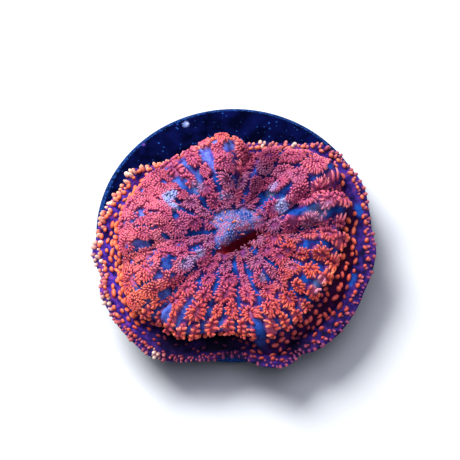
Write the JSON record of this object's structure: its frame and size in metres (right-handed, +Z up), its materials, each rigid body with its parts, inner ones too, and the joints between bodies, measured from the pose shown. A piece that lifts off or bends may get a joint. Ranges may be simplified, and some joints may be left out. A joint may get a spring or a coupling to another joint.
{
  "type": "mushroom coral",
  "caption": "Mushroom coral: a folded, tufted disc-shaped polyp with a knobbed brim, on a round ceramic frag disc.",
  "frame": {"origin": "middle of the frag disc's flat underside", "axes": "+Z up through the disc, +Y to the back, where the coral leaves the disc uncovered"},
  "size_m": [0.0393, 0.0406, 0.0149],
  "materials": {
    "coral_tissue": "satin",
    "black_ceramic": "satin"
  },
  "bodies": {
    "root": {"coral_polyp": "coral_tissue", "frag_disc": "black_ceramic"}
  },
  "joints": []
}
